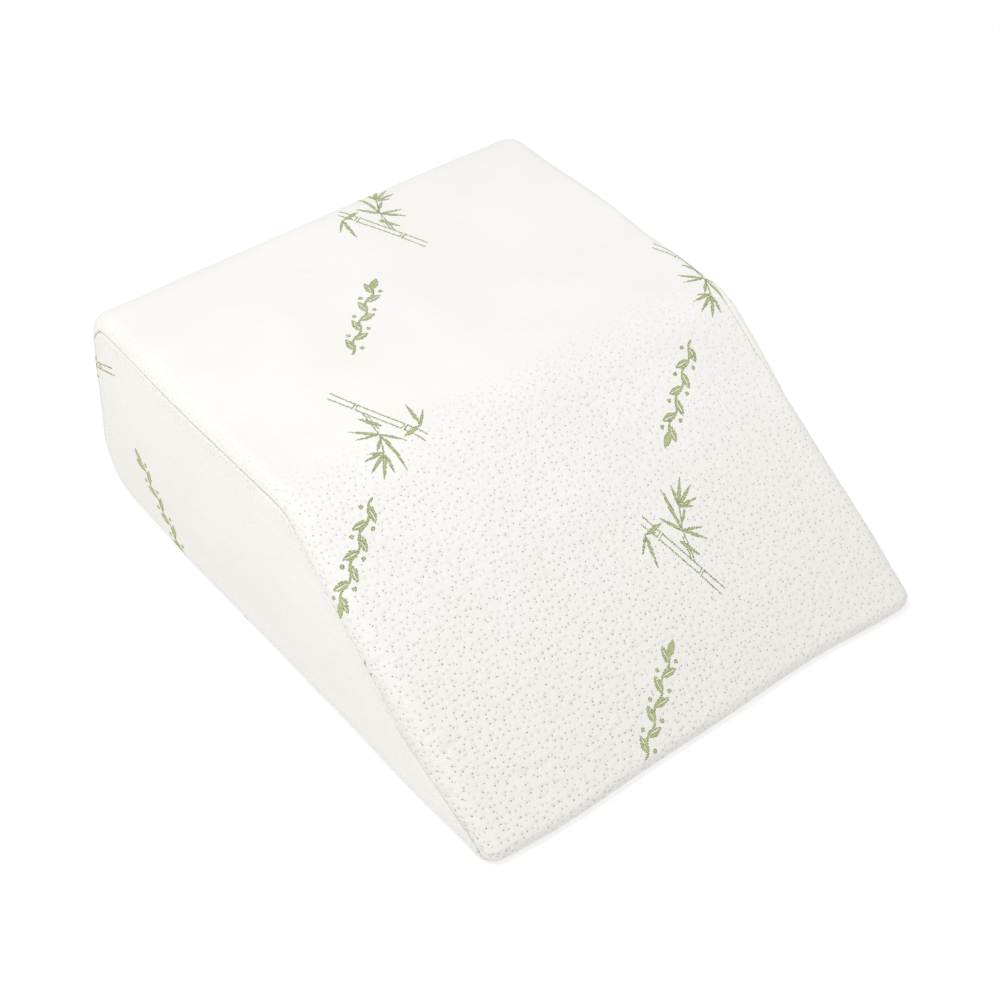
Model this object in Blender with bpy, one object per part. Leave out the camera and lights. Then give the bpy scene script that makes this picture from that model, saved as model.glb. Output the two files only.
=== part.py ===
"""Wedge pillow: a filled wedge with a level top at the back and a slope down to a thin front edge, in a fitted
cover sewn from a wrap panel and two side panels.

Metres, +Z up. The thin front edge faces -Y. The origin is under the middle of the pillow, on the surface that
it rests on. The wrap panel and the filling under it are one solid. Each side panel is a sheet of its own, which
lies flush in a shallow recess of that solid, so its rim is the seam.
"""

import math

import bmesh
import bpy
import numpy as np

# Driving dimensions
WIDTH = 0.508
LENGTH = 0.610
HEIGHT = 0.210
PLATEAU = 0.337
NOSE_HEIGHT = 0.020

# Radii of the wedge's corners, seen from the side
NOSE_RADIUS = 0.0110
BACK_BOTTOM_RADIUS = 0.058
BACK_TOP_RADIUS = 0.034
BREAK_RADIUS = 0.068

# The rounding along the side edges: its reach across the pillow, which is its reach down the face too where the
# wedge is thick, and the share of the wedge's height that it takes where it is thin
EDGE_RADIUS = 0.0165
EDGE_SHARE = 0.26

# Seen from above, each corner is rounder still: how far its tip lies back from the front or the back edge
CORNER_REACH = 0.140
CORNER_COLUMNS = ("side", "front", "back")
CORNERS = (
    (-1, 0.014, 0.007),
    (1, 0.002, 0.007),
)

# How far the cover stands proud of the flat wedge in the middle of each face
TOP_CROWN = 0.003
BACK_CROWN = 0.003
SIDE_CROWN = 0.004

# The shape of those crowns: how square the top's is along the pillow and the back's is up it, how far the
# sides' leans to the back, and the share of the full height from which the top's is whole
TOP_SQUARENESS = 6
BACK_SQUARENESS = 4
SIDE_LEAN = 1.5
WHOLE_CROWN = 0.5

# The edges are drawn in and let out along their length. Each row is a high or a low, and the line runs
# smoothly from one to the next. Columns: y, out
LEFT_EDGE = ((-0.30, -0.0020), (-0.20, 0.0018), (-0.05, 0.0003), (0.12, 0.0006), (0.27, -0.0029))
RIGHT_EDGE = (
    (-0.30, 0.0000),
    (-0.25, 0.0031),
    (-0.13, -0.0020),
    (-0.07, 0.0000),
    (0.06, -0.0009),
    (0.14, 0.0017),
    (0.26, -0.0014),
)
# Columns: x, forward
FRONT_EDGE = ((-0.25, 0.0000), (-0.18, 0.0036), (-0.03, 0.0000), (0.13, -0.0036), (0.24, 0.0020))
FRONT_REACH = 0.120

# The side panels: cloth and batting, lying in a recess of the filled solid and drawn in along the seam. They are
# clear of the recess's floor and rim, by gaps that narrow to 0.3 mm where the seam runs aslant over the edge
PANEL_THICKNESS = 0.0020
FLOOR_GAP = 0.0008
RIM_GAP = 0.0006
SEAM_TUCK = 0.0010
TUCK_ROOM = 0.010

# Where the seam runs over the rounded edge: 0 is where the rounding starts on the top, and 1 is where it ends
# on the side. On the left it sinks down the side along the slope. On the right it rides up onto the top at the
# break. Columns: y, turn
LEFT_SEAM = ((-0.305, 1.12), (-0.200, 1.50), (-0.100, 1.25), (-0.010, 0.80), (0.300, 0.80))
RIGHT_SEAM = ((-0.305, 1.12), (-0.160, 1.00), (-0.080, 0.06), (-0.045, 0.03), (0.030, 0.85), (0.300, 0.85))

# Along the bottom it runs level, tucked under the edge, and the two runs meet where the face tips this far from
# upright
LOW_SEAM = 0.60
SEAM_MEETS = 0.5

# The same measure for the outline inside which a side face is one smooth grid (columns: y, turn), and for the
# ring where the top's grid ends
CORE = ((-0.305, 1.26), (-0.120, 1.95))
TOP_GRID_TURN = -0.60

# Soft swells and dents of the filling under the top of the cover
UNEVEN_COLUMNS = ("x", "y", "reach_x", "reach_y", "rise")
UNEVEN = (
    (-0.150, 0.120, 0.120, 0.080, 0.0010),
    (0.120, 0.020, 0.110, 0.060, 0.0010),
    (-0.020, -0.130, 0.120, 0.050, -0.0012),
    (0.170, -0.190, 0.060, 0.050, -0.0010),
)

# Mesh steps
BACK_ARC_STEPS = 3
PLATEAU_STEPS = 9
BREAK_STEPS = 5
SLOPE_STEPS = 12
STEP_GRADE = 1.4
BACK_STEPS = 4
NOSE_TOP_STEPS = 3
NOSE_FRONT_STEPS = 1
NOSE_BOTTOM_STEPS = 6
EDGE_STEPS = 5
TOP_STEPS = 12
PANEL_STEPS = 4

CLOTH_COLOUR = (0.92, 0.92, 0.90, 1.0)
SIDE_COLOUR = (0.90, 0.90, 0.87, 1.0)
CLOTH_ROUGHNESS = 0.90

FRONT = -LENGTH / 2
BACK = LENGTH / 2
BREAK = BACK - PLATEAU
SLOPE_TURN = math.atan2(HEIGHT - NOSE_HEIGHT, BREAK - FRONT)
DOWN, REAR, UP = -math.pi / 2, 0.0, math.pi / 2
UPHILL = UP + SLOPE_TURN
AHEAD = math.pi


def facing(angle):
    """The unit normal that points at this angle in the (y, z) plane."""
    return np.array([math.cos(angle), math.sin(angle)])


class Corner:
    """A rounded corner of the side outline, between two faces whose normals point at the angles given."""

    def __init__(self, place, radius, start, end):
        self.radius, self.start, self.end = radius, start, end
        before, after = facing(start), facing(end)
        self.centre = np.array(place) - (before + after) * radius / (1 + before @ after)

    def at(self, angle):
        normal = facing(angle)
        return np.concatenate([self.centre + self.radius * normal, normal])

    def arc(self, steps, first=0.0, last=1.0):
        """Points with their normals from one share of the arc to another."""
        shares = np.linspace(first, last, steps + 1)
        return [self.at(self.start + share * (self.end - self.start)) for share in shares]


BACK_BOTTOM = Corner((BACK, 0.0), BACK_BOTTOM_RADIUS, DOWN, REAR)
BACK_TOP = Corner((BACK, HEIGHT), BACK_TOP_RADIUS, REAR, UP)
BREAK_CORNER = Corner((BREAK, HEIGHT), BREAK_RADIUS, UP, UPHILL)
NOSE_TOP = Corner((FRONT, NOSE_HEIGHT), NOSE_RADIUS, UPHILL, AHEAD)
NOSE_BOTTOM = Corner((FRONT, 0.0), NOSE_RADIUS, AHEAD, AHEAD + math.pi / 2)


def between(start, end, steps, grade=1.0):
    """Points between two outline points that share a normal, closer near the start with a grade over 1."""
    return [start + (end - start) * (k / steps) ** grade for k in range(1, steps)]


def side_outline():
    """The wedge seen from the side, as four rows of (y, z, normal y, normal z): bottom, back, top and nose.

    The bottom and the top have the same number of steps, and so do the back and the nose, so that the rows
    are the four sides of a grid. Each row ends on the point where the next one starts.
    """
    round_corner = BACK_TOP.arc(BACK_ARC_STEPS, 0.5, 1.0)
    bend = BREAK_CORNER.arc(BREAK_STEPS)
    nose = NOSE_TOP.arc(NOSE_TOP_STEPS)
    level = between(bend[0], round_corner[-1], PLATEAU_STEPS, STEP_GRADE)[::-1]
    slope = between(bend[-1], nose[0], SLOPE_STEPS, STEP_GRADE)
    top = round_corner + level + bend + slope + nose[:1]

    heel = BACK_BOTTOM.arc(BACK_ARC_STEPS, 0.0, 0.5)
    toe = NOSE_BOTTOM.at(NOSE_BOTTOM.end)
    top_y = np.array([point[0] for point in top[BACK_ARC_STEPS:]])
    shares = (top_y[::-1] - top_y[-1]) / (top_y[0] - top_y[-1])
    bottom = [toe + (heel[0] - toe) * share for share in shares[:-1]] + heel

    lower = BACK_BOTTOM.arc(BACK_ARC_STEPS, 0.5, 1.0)
    upper = BACK_TOP.arc(BACK_ARC_STEPS, 0.0, 0.5)
    back = lower + between(lower[-1], upper[0], BACK_STEPS) + upper

    chin = NOSE_BOTTOM.arc(NOSE_BOTTOM_STEPS)
    front = nose + between(nose[-1], chin[0], NOSE_FRONT_STEPS) + chin
    return np.array(bottom), np.array(back), np.array(top), np.array(front)


def thickness_at(y):
    """The height of the wedge between its bottom and its top."""
    return np.interp(y, [FRONT, BREAK, BACK], [NOSE_HEIGHT, HEIGHT, HEIGHT])


def edge_depth(y):
    """How far the rounded side edge reaches down the face, less where the wedge is thin."""
    thin = EDGE_SHARE * thickness_at(y)
    return (EDGE_RADIUS**-4 + thin**-4) ** -0.25


def smooth_line(rows, place):
    """Reads a table of highs and lows at each place, with a smooth run from one row to the next."""
    places, values = np.array(rows).T
    after = np.clip(np.searchsorted(places, place), 1, len(places) - 1)
    share = np.clip((place - places[after - 1]) / (places[after] - places[after - 1]), 0, 1)
    return values[after - 1] + (values[after] - values[after - 1]) * share * share * (3 - 2 * share)


def half_width(y, side):
    """Half the pillow's width on one side, with that edge's draws and bows."""
    return WIDTH / 2 + smooth_line(RIGHT_EDGE if side > 0 else LEFT_EDGE, y)


def reach_of(y, side, turn):
    """How far from the middle plane a turn over the edge lies. Below 0 it runs in over the flat top."""
    rounded = EDGE_RADIUS * (1 - np.sin(np.clip(turn, 0, 1) * math.pi / 2))
    return half_width(y, side) - rounded + EDGE_RADIUS * math.pi / 2 * np.minimum(turn, 0)


def corner_setback(y, side, angle):
    """How far a ring over the edge lies back towards the pillow's middle, near its four corners."""
    corner = dict(zip(CORNER_COLUMNS, next(row for row in CORNERS if row[0] == side)))
    near_front = np.clip(1 - (y - FRONT) / CORNER_REACH, 0, 1) ** 2
    near_back = np.clip(1 - (BACK - y) / CORNER_REACH, 0, 1) ** 2
    return (1 - np.cos(angle)) * (corner["front"] * near_front - corner["back"] * near_back)


def swell(points, normals):
    """Moves points out along their normals by the crown of each face and by the uneven filling."""
    x, y, z = points.T
    across = 1 - np.clip(2 * x / WIDTH, -1, 1) ** 2
    along = np.clip(1 - (2 * y / LENGTH) ** TOP_SQUARENESS, 0, 1)
    whole = np.clip(thickness_at(y) / HEIGHT / WHOLE_CROWN, 0, 1)
    upright = np.clip(1 - (2 * z / HEIGHT - 1) ** BACK_SQUARENESS, 0, 1)
    rise = TOP_CROWN * across * along * whole * np.clip(normals[:, 2], 0, 1)
    rise += BACK_CROWN * across * upright * np.clip(normals[:, 1], 0, 1)
    for row in UNEVEN:
        place = dict(zip(UNEVEN_COLUMNS, row))
        far = ((x - place["x"]) / place["reach_x"]) ** 2 + ((y - place["y"]) / place["reach_y"]) ** 2
        rise += place["rise"] * np.exp(-far) * np.clip(normals[:, 2], 0, 1)
    moved = points + normals * rise[:, None]
    moved[:, 1] -= smooth_line(FRONT_EDGE, x) * np.clip(1 - (y - FRONT) / FRONT_REACH, 0, 1) ** 2
    return moved


def across_top(outline, share):
    """The ring at a share of the way across the top's grid, from left to right."""
    y, z, normal_y, normal_z = outline.T
    left, right = -reach_of(y, -1, TOP_GRID_TURN), reach_of(y, 1, TOP_GRID_TURN)
    points = np.column_stack([left + (right - left) * share, y, z])
    normals = np.column_stack([np.zeros_like(y), normal_y, normal_z])
    return swell(points, normals)


def over_edge(outline, side, turn, depth=0.0):
    """The ring over a side edge, at a depth under the skin.

    turn is 0 where the rounding starts and 1 where it ends, and past 1 it goes on down the side face. It may
    differ from point to point.
    """
    y, z, normal_y, normal_z = outline.T
    down = edge_depth(y)
    angle = np.clip(turn, 0, 1) * math.pi / 2
    sine, cosine = np.sin(angle), np.cos(angle)
    inset = down * (1 - cosine + np.maximum(turn - 1, 0))
    x = side * reach_of(y, side, turn)
    back = corner_setback(y, side, angle)
    points = np.column_stack([x, y - normal_y * inset + back, z - normal_z * inset])
    upright = cosine * EDGE_RADIUS
    normals = np.column_stack([side * sine * down, normal_y * upright, normal_z * upright])
    normals /= np.linalg.norm(normals, axis=1)[:, None]
    return swell(points, normals) - normals * np.broadcast_to(depth, y.shape)[:, None]


def seam_turn(outline, side):
    """Where the seam lies over the edge, by the table along the top and level along the bottom."""
    table = RIGHT_SEAM if side > 0 else LEFT_SEAM
    upper = np.clip(outline[:, 3] + SEAM_MEETS, 0, 1)
    return LOW_SEAM + (smooth_line(table, outline[:, 0]) - LOW_SEAM) * upper


def seam_tuck(outline, rim):
    """How far the cover is drawn in along the seam, less where the panel beside it is narrow."""
    y = outline[:, 0]
    return SEAM_TUCK * np.clip((smooth_line(CORE, y) - rim) * edge_depth(y) / TUCK_ROOM, 0, 1)


def gap_turn(outline, turn):
    """How much further over the edge the panel's rim lies, to clear the recess by RIM_GAP."""
    angle = np.minimum(turn, 1) * math.pi / 2
    down = edge_depth(outline[:, 0])
    arc = math.pi / 2 * np.hypot(EDGE_RADIUS * np.cos(angle), down * np.sin(angle))
    return RIM_GAP / np.where(turn < 1, arc, down)


def side_grid(ring, counts, side):
    """A crowned grid over the side face inside a ring, as an array of rows from the bottom to the top."""
    along, up = counts
    bottom, back = ring[: along + 1], ring[along : along + up + 1]
    top = ring[along + up : 2 * along + up + 1][::-1]
    nose = np.concatenate([ring[2 * along + up :], ring[:1]])[::-1]
    u = np.linspace(0, 1, along + 1)[None, :, None]
    v = np.linspace(0, 1, up + 1)[:, None, None]
    rows = (1 - v) * bottom[None] + v * top[None] + (1 - u) * nose[:, None] + u * back[:, None]
    rows -= (1 - u) * (1 - v) * bottom[0] + u * (1 - v) * bottom[-1] + (1 - u) * v * top[0] + u * v * top[-1]
    share = np.clip((rows[..., 1] - FRONT) / LENGTH, 0, 1)
    belly = np.sin(math.pi * share**SIDE_LEAN) * np.sin(math.pi * v[..., 0]) ** 2
    rows[..., 0] += side * SIDE_CROWN * belly * thickness_at(rows[..., 1]) / HEIGHT
    return rows


class Skin:
    """A mesh under construction from rings and grids of points.

    Every quad is split along the diagonal from its first corner, so that two skins laid over each other at
    different depths have parallel triangles.
    """

    def __init__(self):
        self.mesh = bmesh.new()

    def ring(self, points):
        return [self.mesh.verts.new(point) for point in points]

    def quad(self, a, b, c, d):
        self.mesh.faces.new((a, b, c))
        self.mesh.faces.new((a, c, d))

    def bridge(self, rings):
        """Bands of faces between closed rings of vertices."""
        for first, second in zip(rings, rings[1:]):
            for k in range(len(first)):
                after = (k + 1) % len(first)
                self.quad(first[k], first[after], second[after], second[k])

    def fill(self, ring, rows):
        """A grid of points inside a ring of vertices, which take the place of the grid's outer points."""
        up, along = len(rows) - 1, len(rows[0]) - 1
        grid = [[None] * (along + 1) for _ in range(up + 1)]
        for k, vertex in enumerate(ring):
            if k <= along:
                grid[0][k] = vertex
            elif k <= along + up:
                grid[k - along][along] = vertex
            elif k <= 2 * along + up:
                grid[up][2 * along + up - k] = vertex
            else:
                grid[2 * (along + up) - k][0] = vertex
        for i in range(1, up):
            grid[i][1:along] = self.ring(rows[i, 1:along])
        for i in range(up):
            for j in range(along):
                self.quad(grid[i][j], grid[i][j + 1], grid[i + 1][j + 1], grid[i + 1][j])

    def side_face(self, outline, counts, side, rim, depth):
        """A pillow side at a depth under the skin, from its rim to its middle. Returns the rim's vertices."""
        core = smooth_line(CORE, outline[:, 0])
        shares = np.linspace(0, 1, PANEL_STEPS + 1)
        depths = [depth + seam_tuck(outline, rim)] + [depth] * PANEL_STEPS
        turns = [rim + (core - rim) * share for share in shares]
        rings = [over_edge(outline, side, turn, deep) for turn, deep in zip(turns, depths)]
        vertices = [self.ring(points) for points in rings]
        self.bridge(vertices)
        self.fill(vertices[-1], side_grid(rings[-1], counts, side))
        return vertices[0]

    def object(self, name, material, collection):
        bmesh.ops.recalc_face_normals(self.mesh, faces=self.mesh.faces)
        mesh = bpy.data.meshes.new(name)
        self.mesh.to_mesh(mesh)
        self.mesh.free()
        mesh.materials.append(material)
        mesh.shade_smooth()
        part = bpy.data.objects.new(name, mesh)
        collection.objects.link(part)
        return part


def filled_body(outline, counts, material, collection):
    """The wrap panel over its filling: one solid, with a recess in each end for the side panel."""
    skin = Skin()
    ends = {}
    for side in (-1, 1):
        seam = seam_turn(outline, side)
        floor = skin.side_face(outline, counts, side, seam, PANEL_THICKNESS + FLOOR_GAP)
        shares = [k / EDGE_STEPS for k in range(EDGE_STEPS, 0, -1)]
        tucks = [seam_tuck(outline, seam)] + [0.0] * (EDGE_STEPS - 1)
        turns = [TOP_GRID_TURN + (seam - TOP_GRID_TURN) * share for share in shares]
        edge = [skin.ring(over_edge(outline, side, turn, tuck)) for turn, tuck in zip(turns, tucks)]
        ends[side] = [floor] + edge
    top = [skin.ring(across_top(outline, k / TOP_STEPS)) for k in range(TOP_STEPS + 1)]
    skin.bridge(ends[-1] + top + ends[1][::-1])
    return skin.object("filled_body", material, collection)


def side_panel(name, outline, counts, side, material, collection):
    """A side panel: a crowned sheet that lies in the recess of the filled solid."""
    skin = Skin()
    seam = seam_turn(outline, side)
    rim = seam + gap_turn(outline, seam)
    faces = [skin.side_face(outline, counts, side, rim, depth) for depth in (0.0, PANEL_THICKNESS)]
    skin.bridge(faces)
    return skin.object(name, material, collection)


def cloth(name, colour):
    material = bpy.data.materials.new(name)
    material.use_nodes = True
    shader = material.node_tree.nodes["Principled BSDF"]
    shader.inputs["Base Color"].default_value = colour
    shader.inputs["Roughness"].default_value = CLOTH_ROUGHNESS
    shader.inputs["Metallic"].default_value = 0.0
    material.diffuse_color = colour
    return material


def main():
    for old in list(bpy.data.objects):
        bpy.data.objects.remove(old, do_unlink=True)
    collection = bpy.data.collections.new("wedge_pillow")
    bpy.context.scene.collection.children.link(collection)

    bottom, back, top, nose = side_outline()
    counts = len(bottom) - 1, len(back) - 1
    outline = np.concatenate([bottom[:-1], back[:-1], top[:-1], nose[:-1]])

    filled_body(outline, counts, cloth("wrap_knit", CLOTH_COLOUR), collection)
    for name, side in (("side_panel_left", -1), ("side_panel_right", 1)):
        side_panel(name, outline, counts, side, cloth(name + "_knit", SIDE_COLOUR), collection)


main()
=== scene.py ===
"""Looks of the wedge pillow: a knit wrap drawn in along its side seams, two sewn-in side panels, green
yarn motifs stitched into the knit, the floor, the light and the camera.

Metres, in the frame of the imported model: +Z up, the thin front edge facing -Y. "Cloth coordinates" lie on
the wrap: u runs across the pillow from its middle, to the right, and v runs along it from the break, up to
the back edge and on down the back, with the slope below 0. On the side panels v is y, and u is z on the
left one and -z on the right one.
"""

import math

import bpy
import numpy as np
from mathutils import Matrix, Vector
from mathutils.bvhtree import BVHTree

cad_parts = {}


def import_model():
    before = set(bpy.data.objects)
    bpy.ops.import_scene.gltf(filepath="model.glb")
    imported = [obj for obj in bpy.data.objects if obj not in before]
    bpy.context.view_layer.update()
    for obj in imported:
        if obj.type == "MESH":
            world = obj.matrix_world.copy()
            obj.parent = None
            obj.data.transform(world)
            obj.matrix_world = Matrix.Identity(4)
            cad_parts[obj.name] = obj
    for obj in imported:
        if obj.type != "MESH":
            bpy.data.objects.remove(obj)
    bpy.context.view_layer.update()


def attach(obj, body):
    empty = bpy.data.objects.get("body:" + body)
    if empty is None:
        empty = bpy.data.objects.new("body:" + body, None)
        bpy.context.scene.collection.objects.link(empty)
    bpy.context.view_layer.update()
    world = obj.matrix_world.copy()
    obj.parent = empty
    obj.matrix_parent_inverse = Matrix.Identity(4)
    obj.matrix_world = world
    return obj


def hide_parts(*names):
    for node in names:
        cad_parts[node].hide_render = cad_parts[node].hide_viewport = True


# The pillow's form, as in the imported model
WIDTH = 0.508
LENGTH = 0.610
HEIGHT = 0.210
PLATEAU = 0.337
NOSE_HEIGHT = 0.020
NOSE_RADIUS = 0.0110
BACK_BOTTOM_RADIUS = 0.058
BACK_TOP_RADIUS = 0.034
BREAK_RADIUS = 0.068

# The rounding along the side edges: its reach across the pillow, and the share of the height that it
# takes where the wedge is thin
EDGE_RADIUS = 0.0165
EDGE_SHARE = 0.26

# Seen from above, how far each corner's tip lies back from the front or the back edge
CORNER_REACH = 0.140
CORNER_COLUMNS = ("side", "front", "back")
CORNERS = (
    (-1, 0.014, 0.007),
    (1, 0.002, 0.007),
)

# The crown of each face. A higher squareness keeps the crown full nearer to the edges, the lean moves the
# side's belly to the back, and the top has its whole crown from this share of the pillow's height up
TOP_CROWN = 0.003
BACK_CROWN = 0.003
SIDE_CROWN = 0.004
TOP_SQUARENESS = 6
BACK_SQUARENESS = 4
SIDE_LEAN = 1.5
WHOLE_CROWN = 0.5

# Highs and lows of the edges' lines. Columns: y, out
LEFT_EDGE = ((-0.30, -0.0020), (-0.20, 0.0018), (-0.05, 0.0003), (0.12, 0.0006), (0.27, -0.0029))
RIGHT_EDGE = (
    (-0.30, 0.0000),
    (-0.25, 0.0031),
    (-0.13, -0.0020),
    (-0.07, 0.0000),
    (0.06, -0.0009),
    (0.14, 0.0017),
    (0.26, -0.0014),
)
# Columns: x, forward
FRONT_EDGE = ((-0.25, 0.0000), (-0.18, 0.0036), (-0.03, 0.0000), (0.13, -0.0036), (0.24, 0.0020))
FRONT_REACH = 0.120

# The side panels lie in a recess of the filled wrap, with these gaps under them and round their rims. The
# face that closes the wrap lies deeper still
PANEL_THICKNESS = 0.0020
FLOOR_GAP = 0.0008
RIM_GAP = 0.0004
END_DEPTH = 0.008

# Where the seam runs over the rounded edge: a turn of 0 is where the rounding starts on the top or the
# bottom, and 1 is where it ends on the side. Columns: y, turn
LEFT_SEAM = ((-0.305, 1.12), (-0.200, 1.50), (-0.100, 1.25), (-0.010, 0.80), (0.300, 0.80))
RIGHT_SEAM = ((-0.305, 1.12), (-0.160, 1.00), (-0.080, 0.06), (-0.045, 0.03), (0.030, 0.85), (0.300, 0.85))
# The seam's turn along the bottom, and how far up and down the outline's normal points where it passes from
# one line to the other
LOW_SEAM = 0.60
SEAM_MEETS = 0.5
# The turns where the rings over an edge end, on the side (columns: y, turn) and on the top
CORE = ((-0.305, 1.26), (-0.120, 1.95))
TOP_GRID_TURN = -0.60

# Soft swells and dents of the filling under the top
UNEVEN_COLUMNS = ("x", "y", "reach_x", "reach_y", "rise")
UNEVEN = (
    (-0.150, 0.120, 0.120, 0.080, 0.0010),
    (0.120, 0.020, 0.110, 0.060, 0.0010),
    (-0.020, -0.130, 0.120, 0.050, -0.0012),
    (0.170, -0.190, 0.060, 0.050, -0.0010),
)

# Mesh steps along the wrap, and across it near the seams and over the top
ARC_SAMPLES = 24
TOP_STEP = 0.0025
NOSE_STEP = 0.0018
BACK_STEP = 0.0060
BOTTOM_STEP = 0.0100
ACROSS_STEP = 0.0026
RIM_STEPS = (0.0, 0.0006, 0.0013, 0.0022, 0.0034, 0.0052)

# The side panels' net: its steps, the rings that the smoothing keeps, its rounds, and the rings' distances
SIDE_ALONG = 190
SIDE_UP = 56
SIDE_KEPT_RINGS = 5
SIDE_SMOOTHING = 40
SIDE_RIM_STEPS = (0.0, 0.0006, 0.0013, 0.0022, 0.0036, 0.0055, 0.0080, 0.0110)

# How the cover is drawn in at a seam: its rim rolls under in a round, less of it at the front edge, and a
# wider, softer dip runs along it
ROLL_RADIUS = 0.0007
SLIGHT_ROLL = 0.30
SLIGHT_ROLL_REACH = 0.150
DRAW_DEPTH = 0.0006
DRAW_REACH = 0.0080

# Puckers along the seams, ridges of the stretched knit across the slope, and the filling's lumps
PUCKER_LENGTH = 0.0075
PUCKER_DEPTH = 0.00022
PUCKER_REACH = 0.0090
PUCKER_UNEVENNESS = 0.4
RIDGE_WIDTH = 0.0060
RIDGE_LENGTH = 0.0300
RIDGE_HEIGHT = 0.00030
RIDGE_ON_TOP = 0.25
SLOPE_FADE = 0.04
LUMP_SIZE = 0.0450
LUMP_HEIGHT = 0.00055
LUMP_FROM_SEAM = 0.02

# Seeds of the noise. Each side panel adds its side, -1 or 1
NOISE_TABLE = 256
LUMP_SEED = 3
RIDGE_SEED = 4
LEFT_PUCKER_SEED = 11
RIGHT_PUCKER_SEED = 21
SIDE_PUCKER_SEED = 31
SIDE_LUMP_SEED = 41
SPRIG_SEED = 51
ROW_SEED = 52
SIDE_MOTIF_SEED = 60

# Creases in cloth coordinates, each a soft trough with a ridge on its lower side, sized by the trough
CREASE_RIDGE_OFFSET = 2
CREASE_RIDGE_WIDTH = 1.5
CREASE_RIDGE_HEIGHT = 0.3
CREASE_COLUMNS = ("u", "v", "length", "turn_degrees", "width", "depth")
CREASES = (
    (-0.230, -0.2333, 0.030, 10, 0.0026, 0.0030),
    (-0.188, -0.2840, 0.050, -7.5, 0.0040, 0.0019),
)

# The yarn motifs, in millimetres. A sprig is drawn along its stalk from the lower joint, with "aside" to the
# right of the way it grows, and a leaf's angle is measured from the stalk towards that side
MOTIF_KINDS = ("sprig", "row")
LEAF_LEAN = 0.75
LEAF_FULLNESS = 0.8
SPRIG_LINE_COLUMNS = ("along", "aside", "to_along", "to_aside", "width")
SPRIG_LINES = (
    (-27.0, -3.3, -1.5, -2.9, 1.2),
    (-25.5, 3.6, -1.5, 3.1, 1.2),
    (-1.2, -3.8, -1.0, 3.9, 1.1),
    (1.4, -3.5, 1.8, 3.6, 1.0),
    (2.0, -2.8, 48.5, -3.4, 1.2),
    (2.5, 3.2, 48.0, 3.0, 1.2),
    (49.0, -3.9, 49.6, 3.8, 1.1),
    (52.0, -3.4, 52.3, 3.5, 1.0),
    (53.0, -3.0, 71.0, -3.7, 1.2),
    (53.0, 3.0, 73.5, 3.3, 1.2),
    (11.0, 4.0, 37.0, 19.5, 1.2),
    (16.0, 4.2, 33.0, 14.0, 1.0),
    (37.0, 19.5, 52.0, 37.0, 1.3),
    (56.0, -1.0, 62.5, -9.0, 1.3),
)
LEAF_COLUMNS = ("along", "aside", "angle", "length", "width")
SPRIG_LEAVES = (
    (62.5, -9.0, -148, 33, 3.4),
    (62.0, -9.0, -116, 21, 2.6),
    (61.0, -7.0, 104, 19, 4.4),
    (37.0, 19.5, 156, 27, 3.4),
    (36.5, 20.0, 129, 22, 2.6),
    (37.5, 19.0, -14, 24, 3.2),
    (38.0, 20.0, 25, 43, 3.6),
    (41.0, 25.0, 68, 15, 2.8),
    (33.0, 9.0, 172, 24, 4.0),
    (51.0, 36.0, 112, 22, 3.2),
    (52.0, 37.0, 84, 25, 3.4),
    (53.0, 37.5, 58, 26, 3.6),
    (53.0, 37.0, 33, 21, 3.0),
    (52.0, 36.0, 137, 15, 2.6),
)

# The leaf row: a waved stem with leaves on alternate sides, each split along the middle of its rib, a berry
# opposite each, and a leaf at its tip, for which the rest lies a little back
ROW_LENGTH = 98.0
ROW_SHIFT = 5.0
ROW_TIP_BACK = 6.0
ROW_WAVE = 28.0
ROW_SWING = 1.9
ROW_STEM = 2.2
ROW_LEAF_PITCH = 14.0
ROW_LEAF_ANGLE = 42
ROW_LEAF_LENGTH = 16.5
ROW_LEAF_WIDTH = 7.6
ROW_RIB = 1.0
ROW_RIB_ENDS = (0.2, 0.8)
ROW_BERRY = 2.1
ROW_BERRY_ALONG = 4.0
ROW_BERRY_ASIDE = 6.2

# How the motifs repeat in cloth coordinates, in millimetres: the steps of the repeat, and each motif's place
# from the first row's middle and the way it points. The first row's middle is given for each panel
REPEAT = ((365.0, -5.0), (16.0, -460.0))
REPEATS = range(-4, 5)
MOTIF_COLUMNS = ("kind", "u", "v", "points")
MOTIFS = (
    ("row", 0.0, 0.0, 42),
    ("sprig", 104.4, 77.9, 112),
    ("sprig", -79.3, -94.5, 292),
    ("row", -168.0, -224.0, 222),
)
FIRST_ROW = {
    "cover_wrap": (-56.0, 167.0),
    "cover_side_left": (48.0, 186.5),
    "cover_side_right": (-55.0, -215.0),
}
MOTIF_REACH = 96.0

# Where the knit is pulled over an edge, which carries the motif there with it, in millimetres: the motif's
# place on its panel, and how far it is carried
PULL_COLUMNS = ("panel", "u", "v", "across", "along")
PULLS = (
    ("cover_wrap", 229.7, 67.5, 15.0, 0.0),
    ("cover_side_left", 152.4, 264.4, 0.0, 17.0),
)
PULL_SLACK = 5.0

# The depths in a motif, in millimetres, between which the pinholes fade out
BARE_EDGE = (-3.6, -1.4)

# The stitches that the motifs are made of, in millimetres: their pitch across and along the cloth, their
# size and its spread, the way they lean, and their shades, with stripes of darker stitches and a darker edge
STITCH_PITCH = (1.05, 0.95)
STITCH_LENGTH = 1.45
STITCH_WIDTH = 1.00
STITCH_HEIGHT = 0.34
STITCH_JITTER = 0.10
STITCH_SIZES = (0.88, 1.12)
STITCH_LEAN = math.radians(15)
STRIPE_STITCHES = 8
STRIPE_SHIFT = 4
STITCH_SHADE = 0.95
SHADE_JITTER = 0.12
STRIPE_DARKER = 0.38
EDGE_DARKER = 0.45
EDGE_FULL = 1.5
EDGE_FADE = 0.7
STITCH_OUTLINE = ((-0.50, 0.0), (-0.24, -0.5), (0.24, -0.5), (0.50, 0.0), (0.24, 0.5), (-0.24, 0.5))

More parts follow.
